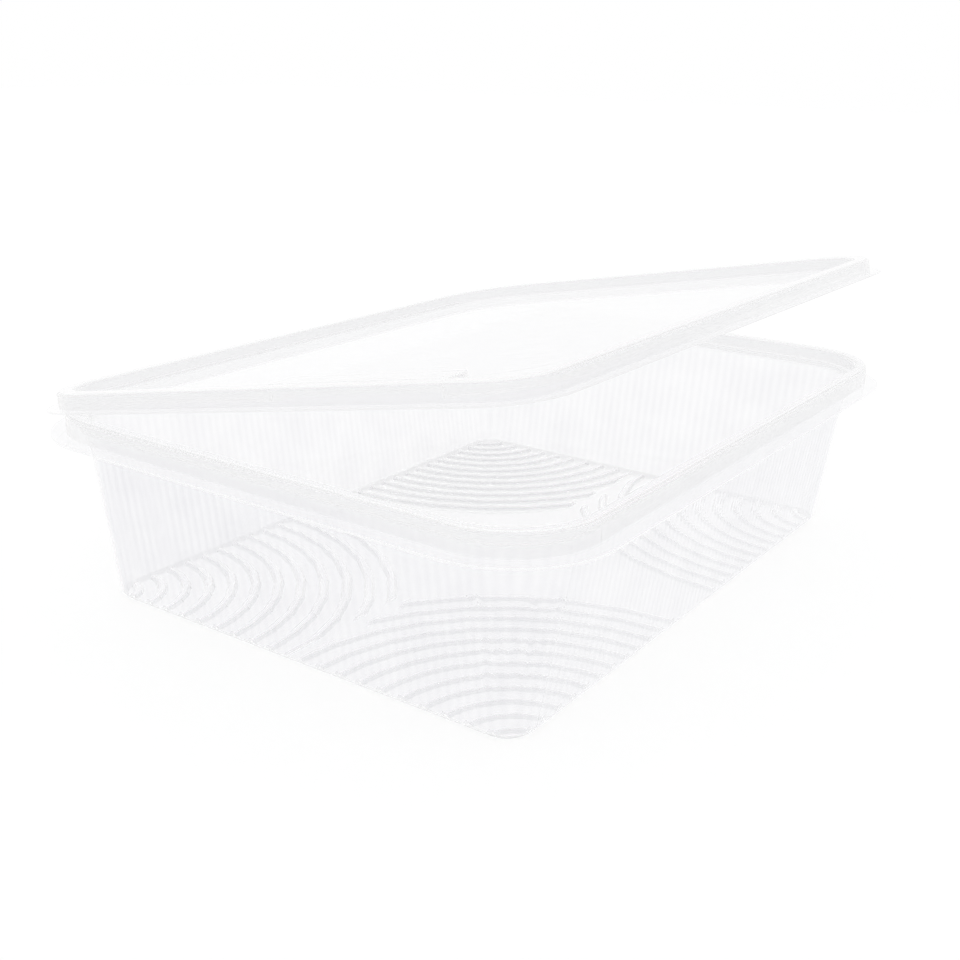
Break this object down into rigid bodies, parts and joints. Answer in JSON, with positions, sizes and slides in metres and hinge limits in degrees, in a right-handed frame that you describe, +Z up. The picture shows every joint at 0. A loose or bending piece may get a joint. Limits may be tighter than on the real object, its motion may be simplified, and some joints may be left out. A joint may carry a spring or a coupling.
{
  "type": "hinged clamshell food pack",
  "caption": "Clear thermoformed box with a ribbed floor, a flanged rim and a shallow hinged lid, shown partly open",
  "frame": {"origin": "middle of the tray floor's flat underside, where the pack stands", "axes": "+Z up, +X along the living hinge, -Y towards the opening side"},
  "size_m": [0.1842, 0.1502, 0.0749],
  "materials": {
    "clear_sheet": "clear, glossy, thin formed sheet"
  },
  "bodies": {
    "tray_body": {"tray": "clear_sheet"},
    "lid_body": {"lid": "clear_sheet"}
  },
  "joints": [
    {"name": "lid_hinge", "type": "hinge", "parent": "tray_body", "child": "lid_body", "pos_m": [0, 0.0776, 0.0419], "axis": [-1, 0, 0], "range_deg": [-11, 169]}
  ]
}
